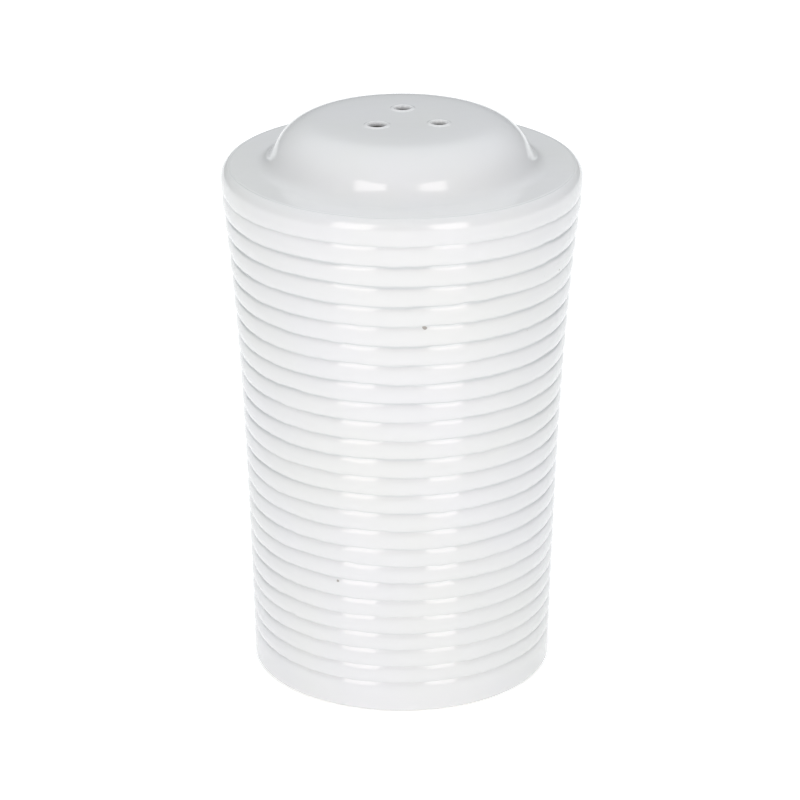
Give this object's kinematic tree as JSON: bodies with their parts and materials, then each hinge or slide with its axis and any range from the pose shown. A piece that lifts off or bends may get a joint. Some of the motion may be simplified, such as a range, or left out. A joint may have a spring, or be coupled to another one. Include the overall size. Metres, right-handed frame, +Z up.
{
  "type": "pepper shaker",
  "caption": "Round porcelain pepper shaker: ribbed wall flaring to a rounded rim, low pierced dome on top, soft stopper in the recessed base.",
  "frame": {"origin": "centre of the foot ring, on the surface the shaker stands on", "axes": "+Z up through the middle of the dome, +X towards the stopper's pull tab"},
  "size_m": [0.0496, 0.0496, 0.08],
  "materials": {
    "white_porcelain": "clear gloss glaze over white porcelain, bare on the foot ring",
    "stopper_rubber": "soft matte, milky white"
  },
  "bodies": {
    "shaker": {"shaker_body": "white_porcelain"},
    "stopper": {"filling_stopper": "stopper_rubber"}
  },
  "joints": [
    {"name": "stopper_pull", "type": "slide", "parent": "shaker", "child": "stopper", "axis": [0, 0, -1], "range_m": [0, 0.03]}
  ]
}
